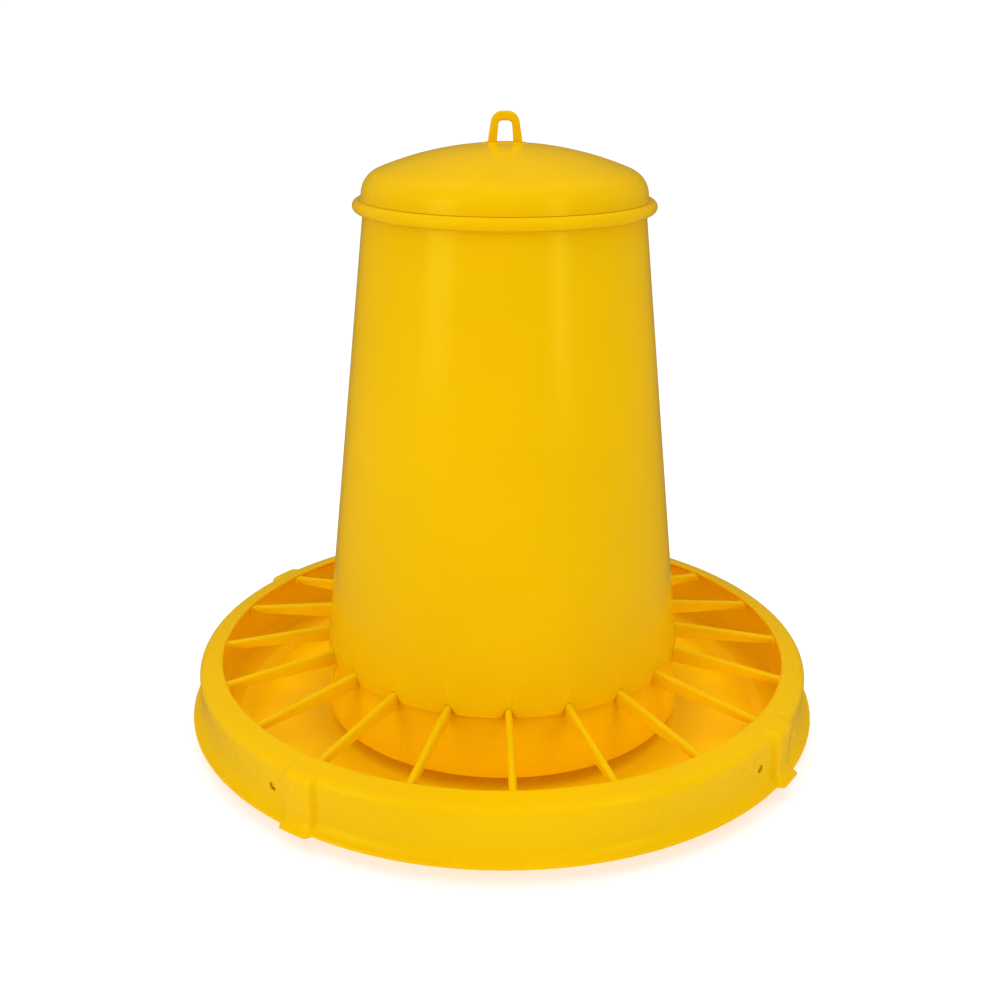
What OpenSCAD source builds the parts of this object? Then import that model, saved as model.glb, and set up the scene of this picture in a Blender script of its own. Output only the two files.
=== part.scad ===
// Gravity poultry feeder: a tray with a feed cone, a spoked grill ring that
// locks onto the tray, a tapered hopper, a hanging loop on a cross bar and a
// loose domed lid. The origin is at the centre of the tray's resting face.

/* [Tray] */
// Outer radius of the tray wall
tray_r = 200.9; // [197:0.1:200.9]
// Thickness of the tray wall
tray_wall = 1.9; // [1.5:0.1:2.5]
// Height of the top of the tray wall
tray_top_z = 41; // [34:1:42]
// Thickness of the tray floor
tray_floor = 2.5; // [2:0.1:3.5]
// Radius of the sunken middle of the floor
dish_r = 176; // [160:1:180]
// Depth of the sunken middle below the outer shelf
dish_depth = 4.5; // [2:0.5:6]
// Radius of the feed cone at the floor
feed_cone_r = 88; // [70:1:95]
// Height of the top of the feed cone
feed_cone_z = 66; // [40:1:75]
// Width of each locking lug
lug_w = 15; // [10:1:17]
// Height of each locking lug
lug_h = 5; // [4:0.5:6]
// Height of the middle of the lugs
lug_z = 28.5; // [26:0.5:32]

/* [Grill ring] */
// Outer radius of the skirt
skirt_r = 204; // [204:0.5:206]
// Wall thickness of the skirt
skirt_wall = 2.6; // [2.2:0.1:2.6]
// Inner radius of the flat band on top of the skirt
band_inner_r = 188.6; // [180:0.2:192]
// Height of the inner edge of the band
band_z = 49.2; // [47:0.1:52]
// Fall of the band from its inner to its outer edge
band_fall = 2.8; // [0:0.1:5]
// Height at which the flare of the skirt begins
flare_z = 21.3; // [20:0.1:24]
// Radius of the flare's curve
flare_r = 8.4; // [8:0.1:12]
// Number of spokes
spoke_count = 20; // [12:4:32]
// Thickness of a spoke
spoke_t = 4.3; // [3:0.1:5]
// Height of the spokes' top edge at the hopper
spoke_inner_z = 60.5; // [58:0.5:64]
// Depth of a spoke at the hopper
spoke_inner_depth = 11.5; // [8:0.5:14]
// Height of the spokes' top edge at the band
spoke_outer_z = 47.2; // [46:0.1:48]
// Depth of a spoke at the band
spoke_outer_depth = 5; // [4:0.5:8]
// Bearing of the first spoke
first_spoke_a = 2; // [0:1:17]
// Height of the lower edge of the inner collar
collar_z = 12.8; // [10:0.1:20]
// Height of the top of the inner collar, inside the hopper
collar_top_z = 66; // [62:1:80]
// Wall thickness of the inner collar
collar_wall = 2.2; // [1.8:0.1:3]

/* [Locking housings] */
// Number of housings and of lugs
lock_count = 4; // [4:1:4]
// Bearing of the first housing
first_lock_a = 56; // [56:90:326]
// Width of a housing
housing_w = 24; // [22:1:26]
// Distance that a housing stands out from the skirt
housing_out = 4; // [3:0.5:5]
// Turn from the locked position to the release position
lock_turn = 7.3; // [7:0.1:8]

/* [Hopper] */
// Height of the hopper's lower edge
hopper_z = 53; // [50:0.5:56]
// Outer radius at the lower edge
hopper_r = 118.4; // [118.4:0.1:118.4]
// Height of the rim bead
bead_z = 342.3; // [300:1:400]
// Outer radius of the wall at the rim bead
neck_wall_r = 86.1; // [86.1:0.1:86.1]
// Wall thickness of the hopper
hopper_wall = 2.4; // [2:0.1:2.4]
// Outer radius of the rim bead
bead_r = 92.8; // [90:0.1:93]
// Outer radius of the neck inside the lid
neck_r = 83.9; // [82:0.1:84]
// Height of the neck above the rim bead
neck_h = 6; // [4:0.5:6.5]

/* [Lid] */
// Outer radius of the lid at its lower edge
lid_edge_r = 88.4; // [88:0.1:89]
// Outer radius where the lid's wall meets the shoulder
lid_wall_r = 87.3; // [87:0.1:88]
// Radius of the rounded shoulder
lid_shoulder_r = 16; // [14:0.5:16]
// Radius of the dome
dome_r = 204; // [196:1:206]
// Height of the dome's crown
crown_z = 378.5; // [378:0.5:380]
// Wall thickness of the lid
lid_wall = 2; // [1.8:0.1:2.4]
// Length of the raised pad around the slot
pad_l = 28; // [26:1:34]
// Height of the raised pad
pad_h = 0.6; // [0.5:0.1:1.5]

/* [Hanger] */
// Height of the top of the loop
loop_top_z = 396.8; // [394:0.2:410]
// Outer width of the loop at its foot
loop_foot_w = 21.6; // [20:0.2:22]
// Outer width of the loop at its top
loop_top_w = 15.4; // [15:0.2:18]
// Width of the loop's sides at their foot
loop_strand = 5.9; // [5:0.1:6.5]
// Thickness of the loop and of its stem
loop_t = 5.4; // [4:0.1:6]
// Length of the eye
eye_h = 12.6; // [10:0.1:14]
// Thickness of the loop above the eye
loop_crown = 5.5; // [4:0.1:6]
// Width of the cross bar
bar_w = 14; // [12:1:16]
// Height of the cross bar's section
bar_h = 6; // [5:0.5:8]
// Height of the lower face of the cross bar
bar_z = 326; // [320:1:330]

/* [Hidden] */
$fn = 180;
eps = 0.05;

yellow = [0.95, 0.72, 0.02];
deep_yellow = [0.90, 0.62, 0.03];

// Clearance between pieces that slide or turn past each other
play = 0.5;
// Gap between the nested cones of the collar and the hopper
nest_gap = 0.3;

hopper_taper = (hopper_r - neck_wall_r) / (bead_z - hopper_z);

// Points along an arc from bearing a0 to a1
function arc(centre, r, a0, a1, steps = 10) =
    [for (i = [0:steps]) let (a = a0 + (a1 - a0) * i / steps) centre + r * [cos(a), sin(a)]];

// Outer radius of the hopper's wall at height z
function hopper_r_at(z) = hopper_r - hopper_taper * (z - hopper_z);

// Outer radius of the inner collar at height z
function collar_r_at(z) = hopper_r_at(z) - hopper_wall - nest_gap;

// Copies the children to equal bearings around the feeder's axis
module around(count, first) {
    for (i = [0:count - 1])
        rotate([0, 0, first + 360 * i / count])
            children();
}

// ---------------------------------------------------------------- tray

shelf_z = tray_floor + dish_depth;
tray_inner_r = tray_r - tray_wall;
dish_ramp = 3;
feed_cone_top_r = 9;
feed_cone_slope = (feed_cone_r - feed_cone_top_r) / (feed_cone_z - tray_floor);
corner_r = 3;
rim_r = tray_wall / 2;
lug_out = 1.7;

function tray_section() = concat(
    // Upper surface, from the cone's top to the wall
    [[0, feed_cone_z + 3], [4, feed_cone_z + 2.4]],
    [[feed_cone_top_r, feed_cone_z]],
    [[feed_cone_r - 3, tray_floor + 3 / feed_cone_slope], [feed_cone_r + 2, tray_floor]],
    [[dish_r - dish_ramp, tray_floor], [dish_r + dish_ramp / 2, shelf_z]],
    arc([tray_inner_r - corner_r, shelf_z + corner_r], corner_r, -90, 0),
    // Rounded top of the wall, then down its outer face
    arc([tray_r - rim_r, tray_top_z - rim_r], rim_r, 180, 0),
    arc([tray_r - corner_r, dish_depth + corner_r], corner_r, 0, -90),
    // Underside, back to the axis below the cone
    [[dish_r + dish_ramp, dish_depth], [dish_r, 0]],
    [[feed_cone_r + 1, 0], [feed_cone_r - 2.5, tray_floor]],
    [[feed_cone_top_r - 2, feed_cone_z - tray_floor], [0, feed_cone_z - tray_floor + 2]]
);

// One lug on the outside of the tray wall, centred on the +X axis
module lug() {
    intersection() {
        rotate_extrude()
            translate([tray_r - eps, lug_z - lug_h / 2])
                square([lug_out + eps, lug_h]);
        translate([tray_r, 0, lug_z])
            cube([20, lug_w, lug_h + 1], center = true);
    }
}

module tray() {
    color(deep_yellow) {
        rotate_extrude()
            polygon(tray_section());
        around(lock_count, first_lock_a - lock_turn)
            lug();
    }
}

// ---------------------------------------------------------------- grill ring

band_slope = atan2(band_fall, skirt_r - band_inner_r);
band_round = 6;
flare_sweep = 70;
flare_centre = [skirt_r + flare_r, flare_z];
skirt_inner_r = skirt_r - skirt_wall;
lip_r = skirt_wall / 2;
band_outer_z = band_z - band_fall;
band_centre = [skirt_r - band_round, band_outer_z - band_round * 0.9];

// Section through the band, the skirt and its flare
function skirt_section() = concat(
    arc([band_inner_r + lip_r, band_z - lip_r], lip_r, 270 - band_slope, 90 - band_slope, 8),
    arc(band_centre, band_round, 90 - band_slope, 0),
    arc(flare_centre, flare_r, 180, 180 + flare_sweep),
    arc(flare_centre + (flare_r + 1) * [cos(180 + flare_sweep), sin(180 + flare_sweep)],
        1, flare_sweep, flare_sweep - 180, 6),
    arc(flare_centre, flare_r + 2, 180 + flare_sweep, 196, 6),
    [[skirt_inner_r, flare_z]],
    arc(band_centre, band_round - skirt_wall, 0, 90 - band_slope, 6)
);

housing_inner_r = skirt_inner_r + 0.5;
housing_round = 4;
housing_top_z = band_outer_z - 1.1;

// From within the skirt's wall out to its outer surface, pushed out by the housing
function housing_section() = concat(
    [[housing_inner_r, housing_top_z - 0.4]],
    arc([skirt_r + housing_out - housing_round, housing_top_z - housing_round], housing_round, 90, 0),
    arc(flare_centre + [housing_out, 0], flare_r, 180, 180 + flare_sweep),
    [[housing_inner_r, flare_z - flare_r + 0.6]]
);

// Outline of a housing seen from outside: an upright with a rounded top
module housing_outline(w, top_z, corner) {
    translate([-w / 2, 0])
        square([w, top_z - corner]);
    translate([-w / 2 + corner, 0])
        square([w - 2 * corner, top_z]);
    for (side = [-1, 1])
        translate([side * (w / 2 - corner), top_z - corner])
            circle(corner, $fn = 48);
}

// Turns an outline in the YZ plane into a prism that runs out along +X
module run_out(from_r, to_r) {
    translate([from_r, 0, 0])
        rotate([90, 0, 90])
            linear_extrude(to_r - from_r)
                children();
}

module housing() {
    intersection() {
        rotate_extrude()
            polygon(housing_section());
        run_out(housing_inner_r - 1, skirt_r + 20)
            housing_outline(housing_w, band_outer_z + 1, 6);
    }
}

channel_w = lug_w + 3;
channel_r = tray_r + lug_out + 1.4;
pocket_r = tray_r + lug_out + 0.4;
pocket_end_a = lock_turn + 6.2;
channel_top_z = lug_z + lug_h / 2 + 1;

// Entry channel of a lug, open at the bottom
module lug_channel() {
    intersection() {
        translate([0, 0, -1])
            cylinder(h = channel_top_z + 1, r = channel_r);
        translate([skirt_r, 0, channel_top_z / 2 - 1])
            cube([40, channel_w, channel_top_z + 2], center = true);
    }
}

// Groove in which the lug turns from the channel to the locked position
module lug_groove() {
    rotate([0, 0, -pocket_end_a])
        rotate_extrude(angle = pocket_end_a)
            translate([skirt_inner_r - 2, lug_z - lug_h / 2 - play])
                square([pocket_r - skirt_inner_r + 2, lug_h + 2 * play]);
}

snap_hole_r = 2.8;
snap_hole_a = -6.7;

// Round hole in front of the locked lug
module snap_hole() {
    rotate([0, 0, snap_hole_a])
        translate([skirt_inner_r - 2, 0, lug_z])
            rotate([0, 90, 0])
                cylinder(h = 10, r = snap_hole_r, $fn = 48);
}

spoke_start_r = collar_r_at(spoke_inner_z) - collar_wall / 2;
spoke_end_r = band_inner_r + 1.4;

// Height of a spoke's top edge at radius r
function spoke_z_at(r) =
    spoke_inner_z - (spoke_inner_z - spoke_outer_z) * (r - spoke_start_r) / (spoke_end_r - spoke_start_r);

// Cross-section of a spoke below its rounded top edge, the top at the origin
module spoke_section() {
    polygon(concat(
        [[-spoke_t / 2, -spoke_inner_depth - spoke_t], [spoke_t / 2, -spoke_inner_depth - spoke_t]],
        arc([0, -spoke_t / 2], spoke_t / 2, 0, 180, 8)
    ));
}

// One blade-shaped spoke along +X, deeper towards the hopper
module spoke() {
    run = spoke_end_r - spoke_start_r;
    fall = spoke_inner_z - spoke_outer_z;
    intersection() {
        translate([spoke_start_r, 0, spoke_inner_z])
            rotate([0, atan2(fall, run), 0])
                rotate([90, 0, 90])
                    translate([0, 0, -spoke_t])
                        linear_extrude(norm([run, fall]) + 2 * spoke_t)
                            spoke_section();
        rotate([90, 0, 0])
            translate([0, 0, -spoke_t])
                linear_extrude(2 * spoke_t)
                    polygon([
                        [spoke_start_r, spoke_inner_z + 1],
                        [spoke_end_r, spoke_outer_z + 1],
                        [spoke_end_r, spoke_outer_z - spoke_outer_depth],
                        [spoke_start_r, spoke_inner_z - spoke_inner_depth]
                    ]);
    }
}

// Tapered collar that the hopper stands over
module collar() {
    rotate_extrude()
        polygon([
            [collar_r_at(collar_z) - collar_wall, collar_z],
            [collar_r_at(collar_z), collar_z],
            [collar_r_at(collar_top_z), collar_top_z],
            [collar_r_at(collar_top_z) - collar_wall, collar_top_z]
        ]);
}

module grill_ring() {
    color(yellow) {
        difference() {
            union() {
                rotate_extrude()
                    polygon(skirt_section());
                around(lock_count, first_lock_a)
                    housing();
            }
            around(lock_count, first_lock_a) {
                lug_channel();
                lug_groove();
                snap_hole();
            }
        }
        collar();
        around(spoke_count, first_spoke_a)
            spoke();
    }
}

// ---------------------------------------------------------------- hopper

bead_round = 3.7;
bead_centre = [bead_r - bead_round, bead_z];
seat_z = bead_z + bead_round;
neck_top_z = seat_z + neck_h;
notch_play = 0.25;
notch_flare_r = 5;
bracket_w = bar_w + 8;
bracket_depth = 14;
bracket_top_z = bar_z + bar_h + 3.5;
bracket_bottom_z = bar_z - 3.5;

function hopper_section() = concat(
    [[hopper_r - hopper_wall, hopper_z], [hopper_r, hopper_z]],
    [[hopper_r_at(bead_z - bead_round), bead_z - bead_round]],
    arc(bead_centre, bead_round, -90, 90, 14),
    [[neck_r, seat_z], [neck_r, neck_top_z], [neck_r - 2, neck_top_z]],
    [[neck_r - 2, seat_z - 1], [hopper_r_at(bead_z - 8) - hopper_wall, bead_z - 8]]
);

// Gap in the lower edge that straddles a spoke, bell-mouthed at the bottom
module spoke_notch() {
    notch_r = spoke_t / 2 + notch_play;
    notch_crown_z = spoke_z_at(hopper_r_at(spoke_inner_z) - hopper_wall) - spoke_t / 2;
    // The flare's lowest point lies just below the edge, so the two meet at a clear angle
    mouth = [notch_r + notch_flare_r, hopper_z + notch_flare_r - 0.5];
    translate([hopper_r - 10, 0, 0])
        rotate([90, 0, 90])
            linear_extrude(20)
                polygon(concat(
                    [[-mouth[0], hopper_z - 1]],
                    arc([-mouth[0], mouth[1]], notch_flare_r, -90, 0, 6),
                    arc([0, notch_crown_z], notch_r, 180, 0, 10),
                    arc(mouth, notch_flare_r, 180, 270, 6),
                    [[mouth[0], hopper_z - 1]]
                ));
}

// Bracket inside the neck with a pocket for one end of the cross bar
module bracket() {
    inner_r = hopper_r_at(bar_z) - hopper_wall;
    difference() {
        intersection() {
            translate([inner_r - bracket_depth, -bracket_w / 2, bracket_bottom_z])
                cube([bracket_depth + 2, bracket_w, bracket_top_z - bracket_bottom_z]);
            cylinder(h = bead_z * 2, r = hopper_r_at(bracket_top_z) - 0.4);
        }
        translate([inner_r - bracket_depth - 1, -(bar_w + play) / 2, bar_z - play / 2])
            cube([bracket_depth - 1, bar_w + play, bar_h + play]);
    }
}

module hopper() {
    color(yellow) {
        difference() {
            rotate_extrude()
                polygon(hopper_section());
            around(spoke_count, first_spoke_a)
                spoke_notch();
        }
        around(2, 0)
            bracket();
    }
}

// ---------------------------------------------------------------- hanger

bar_l = 2 * (hopper_r_at(bar_z) - hopper_wall - 2 - play - 1);
stem_top_z = crown_z + 1.6;
loop_corner = 7;
eye_w = loop_foot_w - 2 * loop_strand;
eye_top_w = eye_w - 1.8;
eye_top_z = loop_top_z - loop_crown;
eye_bottom_z = eye_top_z - eye_h;
loop_foot_z = eye_bottom_z - 2;

// Loop and stem seen from the front
module loop_outline() {
    polygon(concat(
        [[-loop_foot_w / 2, loop_foot_z]],
        [[loop_foot_w / 2, loop_foot_z]],
        arc([loop_top_w / 2 - loop_corner, loop_top_z - loop_corner], loop_corner, 8, 90, 8),
        arc([loop_corner - loop_top_w / 2, loop_top_z - loop_corner], loop_corner, 90, 172, 8)
    ));
    translate([-loop_foot_w / 2, bar_z])
        square([loop_foot_w, loop_foot_z - bar_z + eps]);
}

// Opening of the loop, a little narrower at its top
module eye_outline() {
    eye_round = 2.5;
    polygon(concat(
        [[-eye_w / 2, eye_bottom_z], [eye_w / 2, eye_bottom_z]],
        arc([eye_top_w / 2 - eye_round, eye_top_z - eye_round], eye_round, 0, 90, 6),
        arc([eye_round - eye_top_w / 2, eye_top_z - eye_round], eye_round, 90, 180, 6)
    ));
}

module hanger() {
    color(yellow) {
        rotate([90, 0, 0])
            translate([0, 0, -loop_t / 2])
                linear_extrude(loop_t)
                    difference() {
                        loop_outline();
                        eye_outline();
                    }
        // Cross bar, with a stiffening rib on each side of the stem
        translate([-bar_l / 2, -bar_w / 2, bar_z])
            cube([bar_l, bar_w, bar_h]);
        rib_end = bar_l / 2 - bracket_depth - 4;
        rotate([90, 0, 0])
            translate([0, 0, -1.5])
                linear_extrude(3)
                    polygon([
                        [-rib_end, bar_z + bar_h - eps],
                        [rib_end, bar_z + bar_h - eps],
                        [loop_foot_w / 2, bar_z + bar_h + 20],
                        [-loop_foot_w / 2, bar_z + bar_h + 20]
                    ]);
    }
}

// ---------------------------------------------------------------- lid

dome_centre_z = crown_z - dome_r;
slot_l = loop_foot_w + 1.4;
slot_w = loop_t + 1.4;
shoulder_x = lid_wall_r - lid_shoulder_r;
shoulder_z = dome_centre_z + sqrt(pow(dome_r - lid_shoulder_r, 2) - pow(shoulder_x, 2));
shoulder_a = atan2(shoulder_z - dome_centre_z, shoulder_x);
lid_gap = 0.2;
lid_foot_z = seat_z + lid_gap;

// Section of the lid's shell, its inner surface parallel to its outer one
function lid_section() = concat(
    arc([0, dome_centre_z], dome_r, 90, shoulder_a, 24),
    arc([shoulder_x, shoulder_z], lid_shoulder_r, shoulder_a, 0, 10),
    [[lid_edge_r, lid_foot_z], [lid_edge_r - lid_wall, lid_foot_z]],
    arc([shoulder_x, shoulder_z], lid_shoulder_r - lid_wall, 0, shoulder_a, 10),
    arc([0, dome_centre_z], dome_r - lid_wall, shoulder_a, 90, 24)
);

// Outline with half-round ends
module stadium(l, w) {
    square([l - w, w], center = true);
    for (end = [-1, 1])
        translate([end * (l - w) / 2, 0])
            circle(w / 2, $fn = 48);
}

module lid() {
    color(yellow)
        difference() {
            union() {
                rotate_extrude()
                    polygon(lid_section());
                translate([0, 0, crown_z - lid_wall])
                    linear_extrude(lid_wall + pad_h)
                        stadium(pad_l, slot_w + 5);
            }
            translate([0, 0, crown_z - 10])
                linear_extrude(20)
                    square([slot_l, slot_w], center = true);
        }
}

tray();
grill_ring();
hopper();
hanger();
lid();
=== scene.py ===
"""Gravity poultry feeder: the looks of the five moulded pieces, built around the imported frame.

The pieces are drawn in millimetres, and MM turns their points into Blender's metres. The
material, the studio and the camera are in metres. Bearings are degrees counter-clockwise from +X.
"""
import math

import bmesh
import bpy
from mathutils import Matrix, Vector


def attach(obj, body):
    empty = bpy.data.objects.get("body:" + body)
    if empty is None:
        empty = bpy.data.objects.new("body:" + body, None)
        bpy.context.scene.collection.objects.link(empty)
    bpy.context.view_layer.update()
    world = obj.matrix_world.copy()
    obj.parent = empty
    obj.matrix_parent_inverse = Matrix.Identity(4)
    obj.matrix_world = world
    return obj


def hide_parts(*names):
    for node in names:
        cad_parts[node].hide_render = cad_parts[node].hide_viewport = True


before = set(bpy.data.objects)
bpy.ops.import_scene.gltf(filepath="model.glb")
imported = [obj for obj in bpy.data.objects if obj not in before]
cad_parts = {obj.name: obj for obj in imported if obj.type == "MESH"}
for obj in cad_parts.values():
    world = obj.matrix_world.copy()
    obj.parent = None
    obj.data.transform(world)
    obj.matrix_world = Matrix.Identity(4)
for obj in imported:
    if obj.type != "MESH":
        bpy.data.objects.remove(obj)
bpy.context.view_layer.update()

MM = 0.001

# Driving dimensions, the same as the frame's
TRAY_R = 200.9
TRAY_WALL = 1.9
TRAY_TOP_Z = 41.0
TRAY_FLOOR = 2.5
DISH_R = 176.0
DISH_DEPTH = 4.5
FEED_CONE_R = 88.0
FEED_CONE_Z = 66.0
LUG_W = 15.0
LUG_H = 5.0
LUG_Z = 28.5
LUG_OUT = 1.7
SKIRT_R = 204.0
SKIRT_WALL = 2.6
BAND_INNER_R = 188.6
BAND_Z = 49.2
BAND_FALL = 2.8
BAND_ROUND = 6.0
FLARE_Z = 21.3
FLARE_R = 8.4
FLARE_SWEEP = 70.0
SPOKE_COUNT = 20
SPOKE_T = 4.3
SPOKE_INNER_Z = 60.5
SPOKE_INNER_DEPTH = 11.5
SPOKE_OUTER_Z = 47.2
SPOKE_OUTER_DEPTH = 5.0
FIRST_SPOKE = 2.0
COLLAR_Z = 12.8
COLLAR_TOP_Z = 66.0
COLLAR_WALL = 2.2
LOCK_COUNT = 4
FIRST_LOCK = 56.0
HOUSING_W = 24.0
HOUSING_OUT = 4.0
LOCK_TURN = 7.3
HOPPER_Z = 53.0
HOPPER_R = 118.4
HOPPER_WALL = 2.4
BEAD_Z = 342.3
BEAD_R = 92.8
BEAD_ROUND = 3.7
NECK_WALL_R = 86.1
NECK_R = 83.9
NECK_H = 6.0
LID_EDGE_R = 88.4
LID_WALL_R = 87.3
LID_SHOULDER_R = 16.0
LID_WALL = 2.0
DOME_R = 204.0
CROWN_Z = 378.5
PAD_L = 28.0
PAD_H = 0.6
LOOP_TOP_Z = 396.8
LOOP_FOOT_W = 21.6
LOOP_TOP_W = 15.4
LOOP_STRAND = 5.9
LOOP_T = 5.4
EYE_H = 12.6
EYE_TAPER = 1.8
LOOP_CROWN = 5.5
BAR_W = 14.0
BAR_H = 6.0
BAR_Z = 326.0
BRACKET_DEPTH = 14.0
BRACKET_SKIN = 2.0
PLAY = 0.5
NEST_GAP = 0.3

SKIRT_INNER_R = SKIRT_R - SKIRT_WALL
BAND_OUTER_Z = BAND_Z - BAND_FALL
SEAT_Z = BEAD_Z + BEAD_ROUND
NECK_TOP_Z = SEAT_Z + NECK_H
TAPER = (HOPPER_R - NECK_WALL_R) / (BEAD_Z - HOPPER_Z)


# ---------------------------------------------------------------- outlines

def hopper_r_at(z):
    """Outer radius of the hopper's wall at height z."""
    return HOPPER_R - TAPER * (z - HOPPER_Z)


def collar_r_at(z):
    """Outer radius of the collar that the hopper stands over."""
    return hopper_r_at(z) - HOPPER_WALL - NEST_GAP


def arc(centre, radius, start, end, steps=8):
    """Points along an arc between two bearings."""
    turns = [math.radians(start + (end - start) * i / steps) for i in range(steps + 1)]
    return [(centre[0] + radius * math.cos(a), centre[1] + radius * math.sin(a)) for a in turns]


def rounded(corners, steps=5):
    """The closed outline through corners (x, y, radius), each corner rounded to its radius."""
    points = []
    for i, (x, y, radius) in enumerate(corners):
        here = Vector((x, y))
        if radius == 0:
            points.append((x, y))
            continue
        back = (Vector(corners[i - 1][:2]) - here).normalized()
        ahead = (Vector(corners[(i + 1) % len(corners)][:2]) - here).normalized()
        half = back.angle(ahead) / 2
        centre = here + (back + ahead).normalized() * radius / math.sin(half)
        first = here + back * radius / math.tan(half) - centre
        sweep = first.angle_signed(here + ahead * radius / math.tan(half) - centre)
        for k in range(steps + 1):
            turned_by = Matrix.Rotation(-sweep * k / steps, 2)
            points.append(tuple(centre + turned_by @ first))
    return points


def spaced(points, longest, closed=True):
    """The outline with its long stretches divided, so that no side is longer than longest."""
    out = []
    last = len(points) if closed else len(points) - 1
    for i in range(last):
        a, b = Vector(points[i]), Vector(points[(i + 1) % len(points)])
        parts = max(1, math.ceil((b - a).length / longest))
        out += [tuple(a.lerp(b, k / parts)) for k in range(parts)]
    return out if closed else out + [points[-1]]


def ramp(x, low, high):
    """Smooth step from 0 at low to 1 at high."""
    t = min(max((x - low) / (high - low), 0.0), 1.0)
    return t * t * (3 - 2 * t)


def turn_from(bearing, centre):
    """Signed angle from centre to bearing, between -180 and 180 degrees."""
    return (bearing - centre + 180.0) % 360.0 - 180.0


def bearings(step, extra=()):
    """Bearings all the way round, with extra ones where the shape changes quickly."""
    whole = [i * step for i in range(round(360 / step))]
    every = sorted({round(b % 360.0, 4) for b in [*whole, *extra]})
    kept = set(round(b % 360.0, 4) for b in extra)
    out = []
    for b in every:
        crowded = out and b - out[-1] < step * 0.3
        if crowded and b not in kept:
            continue
        if crowded and out[-1] not in kept:
            out.pop()
        out.append(b)
    return out


# ---------------------------------------------------------------- meshes

SHARP_ANGLE = math.radians(38)


def finish_mesh(mesh, name):
    """A shown object from a bmesh, welded, facing outwards and smooth-shaded."""
    bmesh.ops.remove_doubles(mesh, verts=mesh.verts, dist=1e-7)
    bmesh.ops.dissolve_degenerate(mesh, edges=mesh.edges, dist=1e-8)
    bmesh.ops.recalc_face_normals(mesh, faces=mesh.faces)
    data = bpy.data.meshes.new(name)
    mesh.to_mesh(data)
    mesh.free()
    data.shade_smooth()
    data.set_sharp_from_angle(angle=SHARP_ANGLE)
    piece = bpy.data.objects.new(name, data)
    bpy.context.scene.collection.objects.link(piece)
    return piece


def skin(name, columns, closed=True):
    """A closed surface through columns of points that follow each other round the axis."""
    mesh = bmesh.new()
    grid = [[mesh.verts.new(Vector(p) * MM) for p in column] for column in columns]
    rows = len(columns[0])
    for j, column in enumerate(grid):
        beside = grid[(j + 1) % len(grid)]
        for i in range(rows if closed else rows - 1):
            k = (i + 1) % rows
            mesh.faces.new((column[i], beside[i], beside[k], column[k]))
    return finish_mesh(mesh, name)


def turned(name, section, around, shape=None, closed=True):
    """A turned surface. shape(r, z, bearing, row) may move each point of the section."""
    columns = []
    for bearing in around:
        c, s = math.cos(math.radians(bearing)), math.sin(math.radians(bearing))
        moved = [shape(r, z, bearing, i) if shape else (r, z) for i, (r, z) in enumerate(section)]
        columns.append([(r * c, r * s, z) for r, z in moved])
    return skin(name, columns, closed)


def block(name, low, high, round_r=0.6):
    """A box with rounded edges."""
    mesh = bmesh.new()
    bmesh.ops.create_cube(mesh, size=1)
    low, high = Vector(low), Vector(high)
    for v in mesh.verts:
        v.co = Vector((low[k] + (v.co[k] + 0.5) * (high[k] - low[k]) for k in range(3))) * MM
    if round_r:
        bmesh.ops.bevel(mesh, geom=mesh.edges[:], offset=round_r * MM, segments=4,
                        profile=0.5, affect="EDGES", clamp_overlap=True)
    return finish_mesh(mesh, name)


def cut_or_join(piece, others, operation):
    """Applies one boolean for each of the others and removes them."""
    for other in others:
        step = piece.modifiers.new("step", "BOOLEAN")
        step.operation = operation
        step.solver = "EXACT"
        step.object = other
        settle(piece)
        bpy.data.objects.remove(other, do_unlink=True)
    return piece


def settle(piece):
    """Applies the piece's modifiers to its mesh."""
    depsgraph = bpy.context.evaluated_depsgraph_get()
    data = bpy.data.meshes.new_from_object(piece.evaluated_get(depsgraph))
    old = piece.data
    piece.modifiers.clear()
    piece.data = data
    bpy.data.meshes.remove(old)
    data.shade_smooth()
    data.set_sharp_from_angle(angle=SHARP_ANGLE)


def spin(piece, degrees):
    """Turns a piece's mesh about the feeder's axis."""
    piece.data.transform(Matrix.Rotation(math.radians(degrees), 4, "Z"))
    return piece


def joined(name, pieces):
    """One object from several that don't touch each other."""
    mesh = bmesh.new()
    for piece in pieces:
        mesh.from_mesh(piece.data)
        bpy.data.objects.remove(piece, do_unlink=True)
    return finish_mesh(mesh, name)


# ---------------------------------------------------------------- tray

# Radius of the corner under the tray's wall and width of the soft edge round a lug
LOWER_CORNER = 3
LUG_EDGE = 0.7


def lug_height(z, bearing):
    """How far a locking lug lifts the outer face of the tray wall at this height and bearing."""
    half = math.degrees(LUG_W / 2 / TRAY_R)
    for k in range(LOCK_COUNT):
        off = abs(turn_from(bearing, FIRST_LOCK - LOCK_TURN + 360.0 / LOCK_COUNT * k))
        if off < half + 0.3:
            across = 1 - ramp(off, half - 0.25, half)
            up = 1 - ramp(abs(z - LUG_Z), LUG_H / 2 - LUG_EDGE, LUG_H / 2)
            return LUG_OUT * across * up
    return 0.0


def on_tray_wall(r, z):
    """Whether a point of the section is on the upright outer face of the tray's wall."""
    return abs(r - TRAY_R) < 0.001 and z > DISH_DEPTH + LOWER_CORNER


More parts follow.
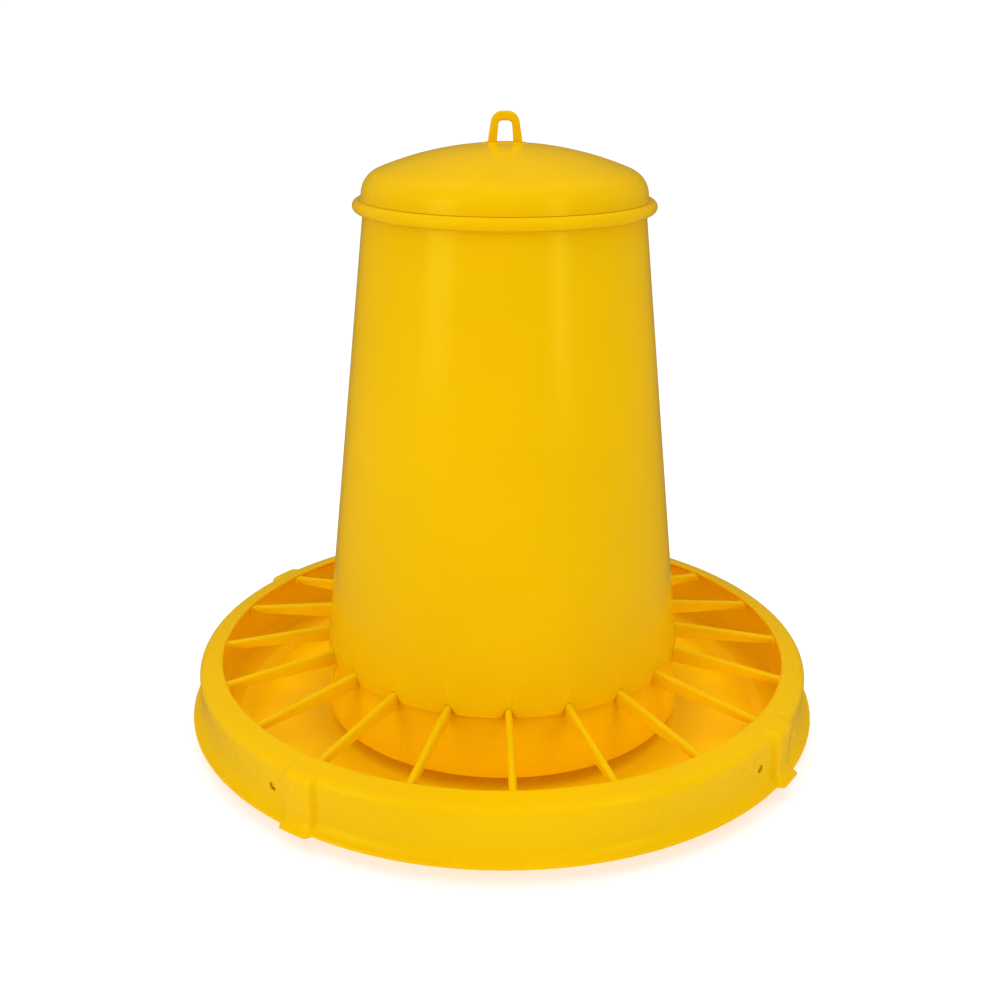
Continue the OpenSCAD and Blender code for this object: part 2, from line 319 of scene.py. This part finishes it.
def make_tray():
    shelf_z = TRAY_FLOOR + DISH_DEPTH
    inner_r = TRAY_R - TRAY_WALL
    cone_tip_r, cone_tip_rise = 9.0, 3.0
    step_round, rim_round, wall_foot_round = 3, 0.8, 4
    inside = [
        (0.0, FEED_CONE_Z + cone_tip_rise, 0), (cone_tip_r, FEED_CONE_Z, 6),
        (FEED_CONE_R, TRAY_FLOOR, 10), (DISH_R - 2, TRAY_FLOOR, step_round),
        (DISH_R + 2.5, shelf_z, step_round), (inner_r, shelf_z, wall_foot_round),
        (inner_r, TRAY_TOP_Z, rim_round), (TRAY_R, TRAY_TOP_Z, rim_round),
    ]
    outside = [
        (TRAY_R, DISH_DEPTH, LOWER_CORNER), (DISH_R + 4, DISH_DEPTH, 2), (DISH_R, 0.0, 2),
        (FEED_CONE_R - 1, 0.0, 3), (cone_tip_r - 2, FEED_CONE_Z - TRAY_FLOOR, 4), (0.0, FEED_CONE_Z, 0),
    ]
    lug_rows = [LUG_Z + side * (LUG_H / 2 - d) for side in (1, -1) for d in (-0.01, 0.2, 0.5, LUG_EDGE)]
    section = rounded(inside + outside)
    section = spaced(section, 6.0, closed=False)
    wall = [i for i, (r, z) in enumerate(section) if on_tray_wall(r, z) and z < TRAY_TOP_Z - 1]
    rows = sorted({round(z, 3) for z in lug_rows + [section[i][1] for i in wall]}, reverse=True)
    section[wall[0]:wall[-1] + 1] = [(TRAY_R, z) for z in rows]
    half = math.degrees(LUG_W / 2 / TRAY_R)
    centres = [FIRST_LOCK - LOCK_TURN + 360.0 / LOCK_COUNT * k for k in range(LOCK_COUNT)]
    extra = [c + side * (half - d) for c in centres for side in (1, -1) for d in (0, 0.08, 0.17, 0.25)]

    def shape(r, z, bearing, row):
        return (r + (lug_height(z, bearing) if on_tray_wall(r, z) else 0.0), z)

    return turned("tray_shell", section, bearings(1.5, extra), shape, closed=False)


# ---------------------------------------------------------------- grill ring

LOCKS = [FIRST_LOCK + 360.0 / LOCK_COUNT * k for k in range(LOCK_COUNT)]
HOUSING_HALF = math.degrees(HOUSING_W / 2 / (SKIRT_R + HOUSING_OUT))
HOUSING_CORNER_W = 3.2
HOUSING_CORNER = math.degrees(HOUSING_CORNER_W / (SKIRT_R + HOUSING_OUT))
CHANNEL_W = LUG_W + 3
CHANNEL_HALF = math.degrees(CHANNEL_W / 2 / TRAY_R)
CHANNEL_R = TRAY_R + LUG_OUT + 1.4
CHANNEL_TOP_Z = LUG_Z + LUG_H / 2 + 1
GROOVE_R = TRAY_R + LUG_OUT + 0.4
GROOVE_END = LOCK_TURN + 6.2
GROOVE_HALF_H = LUG_H / 2 + PLAY
SNAP_HOLE_R = 2.8
SNAP_HOLE_AT = -6.7
# Half of the narrow step between two rows or columns where the inside of the skirt jumps
EDGE = 0.03


def housing_rise(bearing):
    """0 to 1: how far the nearest locking housing stands out at this bearing."""
    off = min(abs(turn_from(bearing, c)) for c in LOCKS)
    return ramp((HOUSING_HALF - off) / HOUSING_CORNER, 0.0, 1.0)


def lock_recess(z, bearing):
    """Radius that the inside of the skirt is cut back to, or 0 where it isn't."""
    off = min((turn_from(bearing, c) for c in LOCKS), key=abs)
    groove_off = min((turn_from(bearing, c - GROOVE_END / 2) for c in LOCKS), key=abs)
    if abs(off) < CHANNEL_HALF and z < CHANNEL_TOP_Z:
        return CHANNEL_R
    if abs(groove_off) < GROOVE_END / 2 and abs(z - LUG_Z) < GROOVE_HALF_H:
        return GROOVE_R
    return 0.0


def make_skirt():
    slope = math.degrees(math.atan2(BAND_FALL, SKIRT_R - BAND_INNER_R))
    lip_r = SKIRT_WALL / 2
    edge_r = 1.0
    round_centre = (SKIRT_R - BAND_ROUND, BAND_OUTER_Z - BAND_ROUND * 0.9)
    flare_centre = (SKIRT_R + FLARE_R, FLARE_Z)
    flare_end = 180 + FLARE_SWEEP
    edge_turn = math.radians(flare_end)
    edge_centre = (flare_centre[0] + (FLARE_R + edge_r) * math.cos(edge_turn),
                   flare_centre[1] + (FLARE_R + edge_r) * math.sin(edge_turn))
    lip = arc((BAND_INNER_R + lip_r, BAND_Z - lip_r), lip_r, 270 - slope, 90 - slope, 8)
    brow = arc(round_centre, BAND_ROUND, 90 - slope, 0, 12)
    flare = arc(flare_centre, FLARE_R, 180, flare_end, 10)
    edge = arc(edge_centre, edge_r, FLARE_SWEEP, FLARE_SWEEP - 180, 6)[1:-1]
    outer = lip + spaced([lip[-1], brow[0]], 3.0, closed=False)[1:-1] + brow
    outer += spaced([brow[-1], flare[0]], 4.0, closed=False)[1:-1] + flare + edge
    # Rows up the inner face: four plain ones and a pair at each level where a recess ends
    inner_rows = [FLARE_Z, 24.6, LUG_Z, 36.0]
    for z in (LUG_Z - GROOVE_HALF_H, LUG_Z + GROOVE_HALF_H, CHANNEL_TOP_Z):
        inner_rows += [z - EDGE, z + EDGE]
    inner = arc(flare_centre, FLARE_R + 2 * edge_r, flare_end, 196, 6)
    inner += [(SKIRT_INNER_R, z) for z in sorted(inner_rows)]
    inner += arc(round_centre, BAND_ROUND - SKIRT_WALL, 0, 90 - slope, 5)
    inner += spaced([inner[-1], lip[0]], 3.0, closed=False)[1:-1]
    section = outer + inner
    first_moved = len(lip) + len(spaced([lip[-1], brow[0]], 3.0, closed=False)) - 2
    last_moved = len(outer) - 1

    extra = []
    for c in LOCKS:
        for side in (1, -1):
            extra += [c + side * (HOUSING_HALF - HOUSING_CORNER * d)
                      for d in (0, 0.12, 0.25, 0.38, 0.5, 0.62, 0.75, 0.88, 1)]
            extra += [c + side * CHANNEL_HALF - EDGE / 2, c + side * CHANNEL_HALF + EDGE / 2]
        extra += [c - GROOVE_END - EDGE / 2, c - GROOVE_END + EDGE / 2]

    def shape(r, z, bearing, row):
        if first_moved <= row <= last_moved:
            return (r + HOUSING_OUT * housing_rise(bearing), z)
        if row > last_moved:
            hollow = HOUSING_OUT * housing_rise(bearing) if r > SKIRT_INNER_R + 0.5 else 0.0
            return (max(r + hollow, lock_recess(z, bearing)), z)
        return (r, z)

    skirt = turned("grill_ring_skirt", section, bearings(1.5, extra), shape)
    holes = []
    for c in LOCKS:
        mesh = bmesh.new()
        bmesh.ops.create_cone(mesh, cap_ends=True, segments=40, radius1=SNAP_HOLE_R * MM,
                              radius2=SNAP_HOLE_R * MM, depth=12 * MM,
                              matrix=Matrix.Translation((SKIRT_R * MM, 0, LUG_Z * MM))
                              @ Matrix.Rotation(math.pi / 2, 4, "Y"))
        holes.append(spin(finish_mesh(mesh, "snap_hole"), c + SNAP_HOLE_AT))
    return cut_or_join(skirt, holes, "DIFFERENCE")


def make_collar():
    edge = 0.7
    section = rounded([
        (collar_r_at(COLLAR_Z) - COLLAR_WALL, COLLAR_Z, edge),
        (collar_r_at(COLLAR_Z), COLLAR_Z, edge),
        (collar_r_at(COLLAR_TOP_Z), COLLAR_TOP_Z, edge),
        (collar_r_at(COLLAR_TOP_Z) - COLLAR_WALL, COLLAR_TOP_Z, edge),
    ], steps=4)
    return turned("grill_ring_collar", spaced(section, 8.0), bearings(1.5))


SPOKE_START = collar_r_at(SPOKE_INNER_Z) - COLLAR_WALL / 2
SPOKE_END = BAND_INNER_R + 1.4
SPOKE_WIDENING = 0.25


def along_spoke(r):
    """0 where a spoke starts in the collar, 1 where it ends in the band."""
    return (r - SPOKE_START) / (SPOKE_END - SPOKE_START)


def spoke_top_at(r):
    """Height of a spoke's top edge at radius r."""
    return SPOKE_INNER_Z + (SPOKE_OUTER_Z - SPOKE_INNER_Z) * along_spoke(r)


def make_spoke():
    """One blade along +X, rounded on top, with a flared root where it meets the band."""
    root_r = 2.2
    draft = 0.35
    edge = 0.5
    waist = 0.55
    collar_face = collar_r_at(SPOKE_INNER_Z - 5)
    stations = sorted({SPOKE_START, SPOKE_END, collar_face, collar_face + 4,
                       *[BAND_INNER_R - d for d in (0.0, 0.3, 0.8, 1.4, 2.2, 4.0)],
                       *[collar_face + 4 + 8 * k for k in range(9)]})
    stations = [x for x in stations if x <= SPOKE_END]
    columns = []
    for x in stations:
        t = along_spoke(x)
        top = spoke_top_at(x)
        depth = SPOKE_INNER_DEPTH + (SPOKE_OUTER_DEPTH - SPOKE_INNER_DEPTH) * t
        near = max(0.0, root_r - (BAND_INNER_R - x))
        flare = root_r - math.sqrt(max(root_r ** 2 - min(near, root_r) ** 2, 0.0))
        half = SPOKE_T / 2 + SPOKE_WIDENING * t + flare
        bottom_half = half - draft
        outline = arc((0.0, top - SPOKE_T / 2), half, 0, 180, 10)
        outline = [(y, min(z, top)) for y, z in outline]
        outline += [(-half + 0.1, top - depth * waist), (-bottom_half, top - depth + edge)]
        outline += [(-bottom_half + edge, top - depth), (bottom_half - edge, top - depth)]
        outline += [(bottom_half, top - depth + edge), (half - 0.1, top - depth * waist)]
        columns.append([(x, y, z) for y, z in outline])
    mesh = bmesh.new()
    grid = [[mesh.verts.new(Vector(p) * MM) for p in column] for column in columns]
    rows = len(columns[0])
    for before, after in zip(grid, grid[1:]):
        for i in range(rows):
            k = (i + 1) % rows
            mesh.faces.new((before[i], after[i], after[k], before[k]))
    mesh.faces.new(grid[0])
    mesh.faces.new(grid[-1][::-1])
    return finish_mesh(mesh, "spoke")


def make_grill_ring():
    ring = make_skirt()
    collar = make_collar()
    spokes = [spin(make_spoke(), FIRST_SPOKE + 360.0 / SPOKE_COUNT * k) for k in range(SPOKE_COUNT)]
    shells = joined("grill_ring_shells", [ring, collar])
    moulded = cut_or_join(shells, [joined("spokes", spokes)], "UNION")
    moulded.name = "grill_ring_moulding"
    return moulded


# ---------------------------------------------------------------- hopper

NOTCH_PLAY = 0.15
NOTCH_HALF = SPOKE_T / 2 + NOTCH_PLAY
NOTCH_MOUTH = 5.0
SPOKES = [FIRST_SPOKE + 360.0 / SPOKE_COUNT * k for k in range(SPOKE_COUNT)]


def notch_lift(bearing, r):
    """How far the lower edge is raised to straddle a spoke, at radius r in the wall."""
    off = min(abs(turn_from(bearing, c)) for c in SPOKES)
    across = math.radians(off) * HOPPER_R
    if across < NOTCH_HALF:
        crown = math.sqrt(NOTCH_HALF ** 2 - across ** 2)
        return spoke_top_at(r) - SPOKE_T / 2 + crown - HOPPER_Z
    from_centre = NOTCH_HALF + NOTCH_MOUTH - across
    if from_centre <= 0:
        return 0.0
    return NOTCH_MOUTH - math.sqrt(max(NOTCH_MOUTH ** 2 - from_centre ** 2, 0.0))


def make_hopper():
    under_bead = BEAD_Z - BEAD_ROUND - 1.2
    neck_wall, neck_edge = 2, 0.8
    outline = rounded([
        (HOPPER_R - HOPPER_WALL, HOPPER_Z, 0.9), (HOPPER_R, HOPPER_Z, 0.7),
        (hopper_r_at(under_bead), under_bead, 0), (BEAD_R, BEAD_Z, 0),
        (NECK_R, NECK_TOP_Z, neck_edge), (NECK_R - neck_wall, NECK_TOP_Z, neck_edge),
        (NECK_R - neck_wall, SEAT_Z - 1, 3),
        (hopper_r_at(BEAD_Z - 8) - HOPPER_WALL, BEAD_Z - 8, 4),
    ], steps=4)
    # The bead takes the place of one corner of the outline
    bead_at = outline.index((BEAD_R, BEAD_Z))
    bead = arc((BEAD_R - BEAD_ROUND, BEAD_Z), BEAD_ROUND, -90, 90, 14)
    bead += [(NECK_R + 0.3, SEAT_Z), (NECK_R, SEAT_Z + 0.3)]
    section = spaced(outline[:bead_at] + bead + outline[bead_at + 1:], 9.0)
    # The lift of the notches fades out over this height of the wall
    blend_h = 16.0

    def shape(r, z, bearing, row):
        part = min(max((HOPPER_Z + blend_h - z) / blend_h, 0.0), 1.0)
        return (r, z + part * notch_lift(bearing, r) if part else z)

    to_turn = math.degrees(1 / HOPPER_R)
    offsets = [0.0, 0.7, 1.3, 1.75, 2.0, NOTCH_HALF - 0.03, NOTCH_HALF + 0.03]
    offsets += [NOTCH_HALF + NOTCH_MOUTH * part for part in (0.06, 0.14, 0.26, 0.42, 0.62, 0.85, 1.0)]
    extra = [c + side * to_turn * d for c in SPOKES for side in (1, -1) for d in offsets]
    shell = turned("hopper_shell", section, bearings(1.5, extra), shape)
    brackets = [spin(make_bracket(), turn) for turn in (0, 180)]
    return cut_or_join(shell, brackets, "UNION")


def make_bracket():
    """Bracket inside the neck with a pocket for one end of the hanger's cross bar."""
    wall_r = hopper_r_at(BAR_Z) - HOPPER_WALL
    bite = 0.8
    side_wall, floor_h = 4, 3.5
    half_w = BAR_W / 2 + side_wall
    low = (wall_r - BRACKET_DEPTH, -half_w, BAR_Z - floor_h)
    high = (wall_r + bite, half_w, BAR_Z + BAR_H + floor_h)
    body = block("bracket", low, high, 0.8)
    pocket_half = (BAR_W + PLAY) / 2
    pocket = block("pocket", (wall_r - BRACKET_DEPTH - 2, -pocket_half, BAR_Z - PLAY / 2),
                   (wall_r - BRACKET_SKIN, pocket_half, BAR_Z + BAR_H + PLAY / 2), 0)
    return cut_or_join(body, [pocket], "DIFFERENCE")


# ---------------------------------------------------------------- hanger

def flat_plate(name, outlines, thickness, round_r):
    """A plate in the XZ plane with rounded edges, cut out along outlines of (x, z) points."""
    curve = bpy.data.curves.new(name, "CURVE")
    curve.dimensions = "2D"
    curve.fill_mode = "BOTH"
    curve.extrude = (thickness / 2 - round_r) * MM
    curve.bevel_depth = round_r * MM
    curve.bevel_resolution = 3
    curve.offset = -round_r * MM
    for outline in outlines:
        spline = curve.splines.new("POLY")
        spline.points.add(len(outline) - 1)
        for point, (x, z) in zip(spline.points, outline):
            point.co = (x * MM, z * MM, 0, 1)
        spline.use_cyclic_u = True
    source = bpy.data.objects.new(name + "_outline", curve)
    bpy.context.scene.collection.objects.link(source)
    bpy.context.view_layer.update()
    data = bpy.data.meshes.new_from_object(source.evaluated_get(bpy.context.evaluated_depsgraph_get()))
    bpy.data.objects.remove(source, do_unlink=True)
    mesh = bmesh.new()
    mesh.from_mesh(data)
    bmesh.ops.transform(mesh, matrix=Matrix.Rotation(math.pi / 2, 4, "X"), verts=mesh.verts)
    return finish_mesh(mesh, name)


def make_hanger():
    eye_top_z = LOOP_TOP_Z - LOOP_CROWN
    eye_bottom_z = eye_top_z - EYE_H
    foot_z = eye_bottom_z - 2
    half_foot, half_top = LOOP_FOOT_W / 2, LOOP_TOP_W / 2
    loop = rounded([
        (-half_foot, BAR_Z + 1, 0), (half_foot, BAR_Z + 1, 0), (half_foot, foot_z, 12),
        (half_top, LOOP_TOP_Z, 7.2), (-half_top, LOOP_TOP_Z, 7.2), (-half_foot, foot_z, 12),
    ], steps=8)
    eye_half = half_foot - LOOP_STRAND
    eye_top_half = eye_half - EYE_TAPER / 2
    eye = rounded([
        (-eye_half, eye_bottom_z, 0.8), (eye_half, eye_bottom_z, 0.8),
        (eye_top_half, eye_top_z, 2.6), (-eye_top_half, eye_top_z, 2.6),
    ], steps=6)
    plate = flat_plate("hanger_moulding", [loop, eye], LOOP_T, 1.1)
    bar_half = hopper_r_at(BAR_Z) - HOPPER_WALL - BRACKET_SKIN - PLAY - 1
    bar = block("bar", (-bar_half, -BAR_W / 2, BAR_Z), (bar_half, BAR_W / 2, BAR_Z + BAR_H), 0.8)
    rib_end = bar_half - BRACKET_DEPTH - 4
    rib_z = BAR_Z + BAR_H
    rib_h, rib_t = 20, 3.0
    ribs = flat_plate("ribs", [rounded([
        (-rib_end, rib_z - 1, 0), (rib_end, rib_z - 1, 0),
        (half_foot, rib_z + rib_h, 6), (-half_foot, rib_z + rib_h, 6)])], rib_t, 0.5)
    return cut_or_join(plate, [bar, ribs], "UNION")


# ---------------------------------------------------------------- lid

def dome_z(r, thickness=0.0):
    """Height of the dome's surface at radius r, or of the surface a thickness below it."""
    return CROWN_Z - DOME_R + math.sqrt((DOME_R - thickness) ** 2 - r * r)


def pad_rise(x, y, half_l, half_w, spread=1.6):
    """Height of the raised pad around the slot, fading out over spread."""
    straight = half_l - half_w
    outside = math.hypot(max(abs(x) - straight, 0.0), y) - half_w
    return PAD_H * (1 - ramp(outside, -spread / 2, spread / 2))


def make_lid():
    slot_gap = 1.4
    slot_half_l = (LOOP_FOOT_W + slot_gap) / 2
    slot_half_w = (LOOP_T + slot_gap) / 2
    pad_half_w = slot_half_w + 2.5
    around = 192
    merge_r = 30.0
    corner = 1.6
    slot = rounded([
        (slot_half_l, slot_half_w, corner), (-slot_half_l, slot_half_w, corner),
        (-slot_half_l, -slot_half_w, corner), (slot_half_l, -slot_half_w, corner),
    ], steps=6)
    slot = evenly(slot, around)

    shoulder_x = LID_WALL_R - LID_SHOULDER_R
    centre_z = CROWN_Z - DOME_R
    shoulder_z = centre_z + math.sqrt((DOME_R - LID_SHOULDER_R) ** 2 - shoulder_x ** 2)
    shoulder_turn = math.degrees(math.atan2(shoulder_z - centre_z, shoulder_x))
    foot_z = SEAT_Z + 0.1
    shoulder = (shoulder_x, shoulder_z)
    end_r = DOME_R * math.cos(math.radians(shoulder_turn))
    radii = [merge_r + (end_r - merge_r) * k / 14 for k in range(1, 14)]
    outer = [(r, dome_z(r)) for r in radii] + arc(shoulder, LID_SHOULDER_R, shoulder_turn, 0, 10)
    foot_edge = 0.25
    foot = rounded([
        (LID_WALL_R, shoulder_z, 0), (LID_EDGE_R, foot_z, foot_edge),
        (LID_EDGE_R - LID_WALL, foot_z, foot_edge), (LID_WALL_R - LID_WALL, shoulder_z, 0),
    ])[1:-1]
    inner = arc(shoulder, LID_SHOULDER_R - LID_WALL, 0, shoulder_turn, 8)
    inner += [(r, dome_z(r, LID_WALL)) for r in reversed(radii)]
    skirt = outer + foot + inner

    steps_out = [0.0, 0.02, 0.06, 0.12, 0.2, 0.28, 0.36, 0.45, 0.55, 0.66, 0.8, 1.0]
    lip = 0.5
    columns = []
    for j in range(around):
        turn = 2 * math.pi * j / around
        far = Vector((merge_r * math.cos(turn), merge_r * math.sin(turn)))
        near = Vector(slot[j])
        path = [near.lerp(far, s) for s in steps_out]
        top = [(p.x, p.y, dome_z(p.length) + pad_rise(p.x, p.y, PAD_L / 2, pad_half_w)) for p in path]
        top[0] = (top[0][0], top[0][1], top[0][2] - lip)
        below = [(p.x, p.y, dome_z(p.length, LID_WALL)) for p in reversed(path)]
        ring = [(r * math.cos(turn), r * math.sin(turn), z) for r, z in skirt]
        columns.append(top + ring + below)
    return skin("lid_shell", columns)


def evenly(outline, count):
    """count points spaced evenly along a closed outline, counter-clockwise from +X."""
    points = [Vector(p) for p in outline]
    middle = Vector((max(p.x for p in points), 0.0))
    after = sorted(points, key=lambda p: math.atan2(p.y, p.x) % (2 * math.pi))
    loop = [middle] + after + [middle]
    lengths = [0.0]
    for a, b in zip(loop, loop[1:]):
        lengths.append(lengths[-1] + (b - a).length)
    out = []
    k = 0
    for j in range(count):
        want = lengths[-1] * j / count
        while lengths[k + 1] < want:
            k += 1
        part = (want - lengths[k]) / max(lengths[k + 1] - lengths[k], 1e-9)
        out.append(loop[k].lerp(loop[k + 1], part))
    return out


# ---------------------------------------------------------------- material

# Strength of the grain and of the flow waves, and their depth in metres
GRAIN, GRAIN_DEPTH = 0.12, 0.00002
WAVES, WAVE_DEPTH = 0.1, 0.0002


def moulded_plastic(name, colour, roughness):
    """Glossy moulded polypropylene: slight tone drift, faint grain, flow waves and fine scuffs."""
    material = bpy.data.materials.new(name)
    material.use_nodes = True
    nodes, links = material.node_tree.nodes, material.node_tree.links
    shader = nodes["Principled BSDF"]
    place = nodes.new("ShaderNodeTexCoord").outputs["Object"]

    def noise(scale, detail, stretch=(1, 1, 1)):
        mapping = nodes.new("ShaderNodeMapping")
        mapping.inputs["Scale"].default_value = stretch
        links.new(place, mapping.inputs["Vector"])
        texture = nodes.new("ShaderNodeTexNoise")
        texture.inputs["Scale"].default_value = scale
        texture.inputs["Detail"].default_value = detail
        links.new(mapping.outputs["Vector"], texture.inputs["Vector"])
        return texture.outputs["Fac"]

    def spread(value, low, high, to_low, to_high):
        node = nodes.new("ShaderNodeMapRange")
        node.inputs["From Min"].default_value = low
        node.inputs["From Max"].default_value = high
        node.inputs["To Min"].default_value = to_low
        node.inputs["To Max"].default_value = to_high
        links.new(value, node.inputs["Value"])
        return node.outputs["Result"]

    drift = nodes.new("ShaderNodeMix")
    drift.data_type = "RGBA"
    drift.inputs["A"].default_value = (*[c * 0.97 for c in colour], 1)
    drift.inputs["B"].default_value = (*[min(c * 1.02, 1) for c in colour], 1)
    links.new(spread(noise(scale=9.0, detail=3.0), 0.35, 0.65, 0, 1), drift.inputs["Factor"])
    links.new(drift.outputs["Result"], shader.inputs["Base Color"])

    patches = spread(noise(scale=28.0, detail=4.0), 0.3, 0.7, roughness - 0.015, roughness + 0.02)
    scuffs = spread(noise(scale=160.0, detail=6.0, stretch=(1, 1, 0.12)), 0.62, 0.8, 0.0, 0.05)
    total = nodes.new("ShaderNodeMath")
    total.operation = "ADD"
    links.new(patches, total.inputs[0])
    links.new(scuffs, total.inputs[1])
    links.new(total.outputs["Value"], shader.inputs["Roughness"])

    fine = nodes.new("ShaderNodeBump")
    fine.inputs["Strength"].default_value = GRAIN
    fine.inputs["Distance"].default_value = GRAIN_DEPTH
    links.new(noise(scale=1100.0, detail=2.0), fine.inputs["Height"])
    waves = nodes.new("ShaderNodeBump")
    waves.inputs["Strength"].default_value = WAVES
    waves.inputs["Distance"].default_value = WAVE_DEPTH
    links.new(noise(scale=16.0, detail=0.0), waves.inputs["Height"])
    links.new(fine.outputs["Normal"], waves.inputs["Normal"])
    links.new(waves.outputs["Normal"], shader.inputs["Normal"])

    shader.inputs["Subsurface Weight"].default_value = 0.15
    shader.inputs["Subsurface Radius"].default_value = (1.0, 0.5, 0.05)
    shader.inputs["Subsurface Scale"].default_value = 0.002
    shader.inputs["Specular Tint"].default_value = (0.8, 0.9, 0.06, 1.0)
    shader.inputs["Specular IOR Level"].default_value = 0.38
    shader.inputs["IOR"].default_value = 1.45
    return material


# ---------------------------------------------------------------- assembly

YELLOW = (0.885, 0.52, 0.001)
TRAY_YELLOW = (0.86, 0.50, 0.001)

# Each piece: what makes it, its node, its body, its material slot, its colour and its roughness
PIECES = [
    (make_tray, "tray", "tray_body", "tray_plastic", TRAY_YELLOW, 0.24),
    (make_grill_ring, "grill_ring", "feeder_body", "grill_plastic", YELLOW, 0.27),
    (make_hopper, "hopper", "feeder_body", "hopper_plastic", YELLOW, 0.20),
    (make_hanger, "hanger", "feeder_body", "hanger_plastic", YELLOW, 0.30),
    (make_lid, "lid", "lid_body", "lid_plastic", YELLOW, 0.24),
]

for make, node, body, slot_name, colour, roughness in PIECES:
    piece = make()
    piece.data.materials.clear()
    piece.data.materials.append(moulded_plastic(slot_name, colour, roughness))
    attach(piece, body)
    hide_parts(node)


# ---------------------------------------------------------------- studio

def plain_material(name, colour, roughness, glow):
    """Matt backlit paper for the floor, with a faint tooth."""
    material = bpy.data.materials.new(name)
    material.use_nodes = True
    nodes, links = material.node_tree.nodes, material.node_tree.links
    shader = nodes["Principled BSDF"]
    shader.inputs["Base Color"].default_value = (*colour, 1)
    shader.inputs["Roughness"].default_value = roughness
    shader.inputs["Emission Color"].default_value = (1, 1, 1, 1)
    shader.inputs["Emission Strength"].default_value = glow
    texture = nodes.new("ShaderNodeTexNoise")
    texture.inputs["Scale"].default_value = 400.0
    bump = nodes.new("ShaderNodeBump")
    bump.inputs["Strength"].default_value = 0.05
    links.new(texture.outputs["Fac"], bump.inputs["Height"])
    links.new(bump.outputs["Normal"], shader.inputs["Normal"])
    return material


def make_floor():
    """A square sheet, wide enough to fill the picture's lower part; its size is in metres."""
    mesh = bmesh.new()
    bmesh.ops.create_grid(mesh, x_segments=1, y_segments=1, size=1.0)
    floor = finish_mesh(mesh, "studio_floor")
    floor.visible_glossy = False
    floor.data.materials.append(plain_material("pale_floor", (0.6, 0.6, 0.6), roughness=0.9, glow=0.55))


def place_light(name, light, power, colour, in_gloss):
    """Adds a light; only those in_gloss are mirrored by the plastic."""
    light.energy = power
    light.color = colour
    lamp = bpy.data.objects.new(name, light)
    lamp.visible_camera = False
    lamp.visible_glossy = in_gloss
    bpy.context.scene.collection.objects.link(lamp)
    return lamp


def make_softbox(name, bearing, elevation, distance, width, height, power, in_gloss=True):
    """A softbox that looks at the middle of the feeder."""
    light = bpy.data.lights.new(name, "AREA")
    light.shape = "RECTANGLE"
    light.size, light.size_y = width, height
    lamp = place_light(name, light, power, (1, 1, 1), in_gloss)
    turn, tilt = math.radians(bearing), math.radians(elevation)
    target = Vector((0, 0, 0.17))
    away = Vector((math.cos(turn) * math.cos(tilt), math.sin(turn) * math.cos(tilt), math.sin(tilt)))
    lamp.location = target + away * distance
    lamp.rotation_euler = away.to_track_quat("Z", "Y").to_euler()


GLOW = (0.80, 0.84, 0.1)


def make_glow_inside(height, radius, power):
    """Light that shines through the hopper's thin wall, as one disc inside that faces down."""
    light = bpy.data.lights.new("glow_inside", "AREA")
    light.shape = "DISK"
    light.size = 2 * radius
    place_light("glow_inside", light, power, GLOW, False).location = (0, 0, height)


def make_trough_glow(count, radius, height, power):
    """Light that shines through the tray's and the skirt's thin walls, as a ring of small lights."""
    for k in range(count):
        name = f"trough_glow_{k + 1:02d}"
        light = bpy.data.lights.new(name, "POINT")
        light.shadow_soft_size = 0.008
        turn = math.radians(FIRST_SPOKE + 360.0 / count * (k + 0.5))
        place = (radius * math.cos(turn), radius * math.sin(turn), height)
        place_light(name, light, power, GLOW, False).location = place


def make_camera():
    """The camera in front of the feeder, a little above it."""
    place = Vector((0.0, -0.7909, 0.4408))
    yaw, pitch, roll = math.radians(-0.143), math.radians(20.20), math.radians(0.284)
    data = bpy.data.cameras.new("camera")
    data.sensor_width = 36.0
    data.lens = 45.80
    camera = bpy.data.objects.new("camera", data)
    camera.matrix_world = (Matrix.Translation(place) @ Matrix.Rotation(-yaw, 4, "Z")
                           @ Matrix.Rotation(math.pi / 2 - pitch, 4, "X") @ Matrix.Rotation(roll, 4, "Z"))
    bpy.context.scene.collection.objects.link(camera)
    bpy.context.scene.camera = camera


def make_world(shown, lighting, mirrored):
    """A plain backdrop: how bright it is shown, how much it lights and how bright gloss mirrors it."""
    world = bpy.data.worlds.new("studio")
    world.use_nodes = True
    nodes, links = world.node_tree.nodes, world.node_tree.links
    path = nodes.new("ShaderNodeLightPath")
    in_gloss = nodes.new("ShaderNodeMapRange")
    in_gloss.inputs["To Min"].default_value = lighting
    in_gloss.inputs["To Max"].default_value = mirrored
    links.new(path.outputs["Is Glossy Ray"], in_gloss.inputs["Value"])
    strength = nodes.new("ShaderNodeMapRange")
    strength.inputs["To Max"].default_value = shown
    links.new(in_gloss.outputs["Result"], strength.inputs["To Min"])
    links.new(path.outputs["Is Camera Ray"], strength.inputs["Value"])
    links.new(strength.outputs["Result"], nodes["Background"].inputs["Strength"])
    nodes["Background"].inputs["Color"].default_value = (1, 1, 1, 1)
    bpy.context.scene.world = world


# The studio's lengths are metres and its powers watts
make_floor()
make_softbox("softbox_left", bearing=221.0, elevation=20.0, distance=1.5,
             width=0.55, height=1.1, power=4.8)
make_softbox("softbox_right", bearing=311.0, elevation=20.0, distance=1.5,
             width=0.3, height=1.1, power=3.4)
make_softbox("softbox_front", bearing=268.0, elevation=40.0, distance=1.6,
             width=1.4, height=0.8, power=0.3)
make_softbox("softbox_top", bearing=270.0, elevation=90.0, distance=2.3,
             width=4.0, height=4.0, power=50.0, in_gloss=False)
make_glow_inside(height=0.30, radius=0.065, power=0.14)
make_trough_glow(count=20, radius=0.155, height=0.024, power=0.007)
make_world(shown=1.05, lighting=0.48, mirrored=0.08)
make_camera()
bpy.context.scene.view_settings.view_transform = "Standard"
bpy.context.scene.cycles.diffuse_bounces = 8
